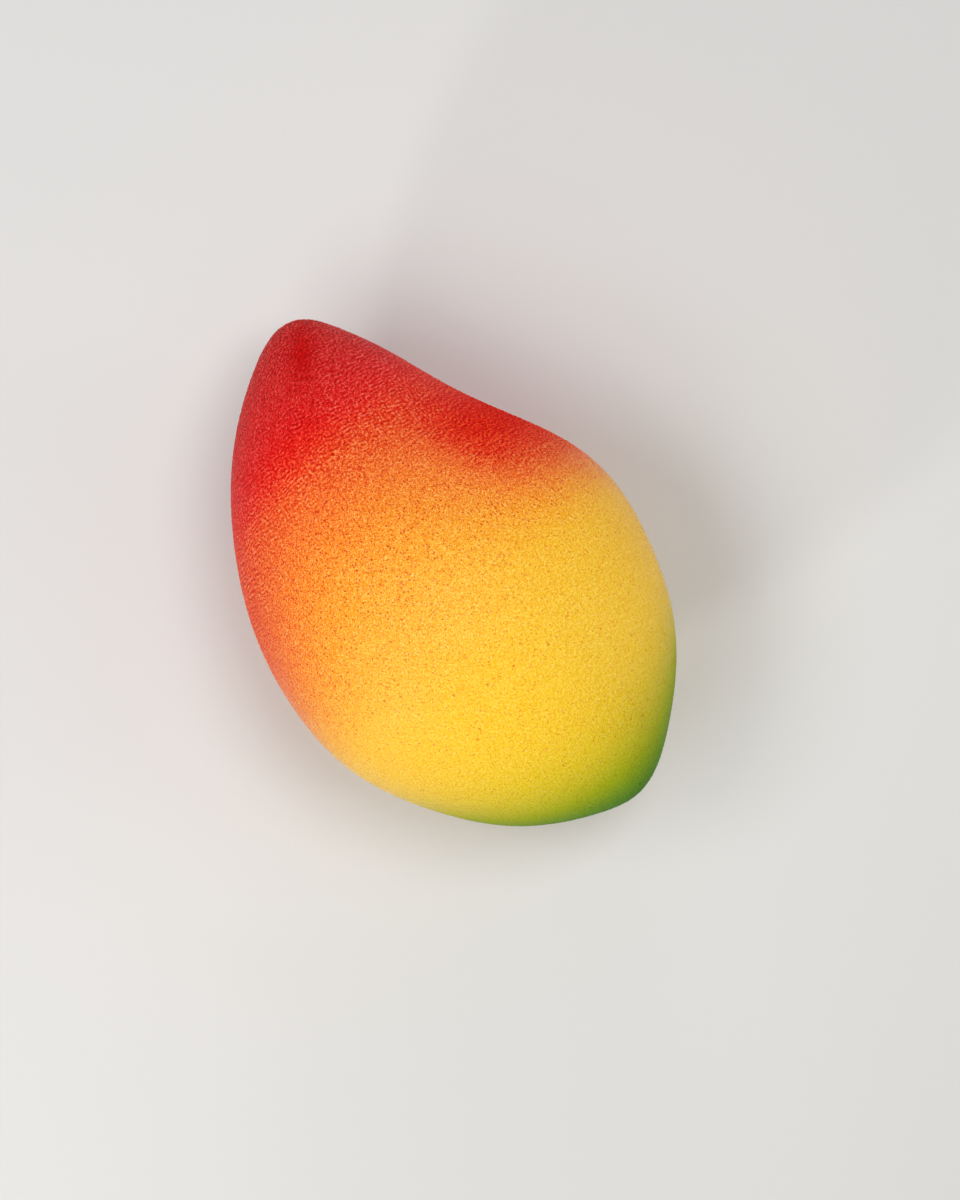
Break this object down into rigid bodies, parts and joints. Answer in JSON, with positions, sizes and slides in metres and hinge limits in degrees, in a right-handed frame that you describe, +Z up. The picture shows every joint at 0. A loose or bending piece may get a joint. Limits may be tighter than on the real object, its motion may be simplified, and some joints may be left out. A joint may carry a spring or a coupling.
{
  "type": "mango-shaped makeup sponge",
  "caption": "Soft foam makeup sponge in the shape of a mango, dyed red to yellow to green, for dabbing and blending makeup.",
  "frame": {"origin": "middle of the sponge's outline seen from above, on the surface that it lies on", "axes": "+X along the long axis, from the red tip to the green blunt end; +Y towards the shoulder, the side with the hollow under the tip; +Z up"},
  "size_m": [0.062, 0.0414, 0.0375],
  "materials": {
    "dyed_foam": "matt open-cell foam, dyed from a red tip through orange and yellow to a green blunt end"
  },
  "bodies": {
    "root": {"foam_sponge": "dyed_foam"}
  },
  "joints": []
}
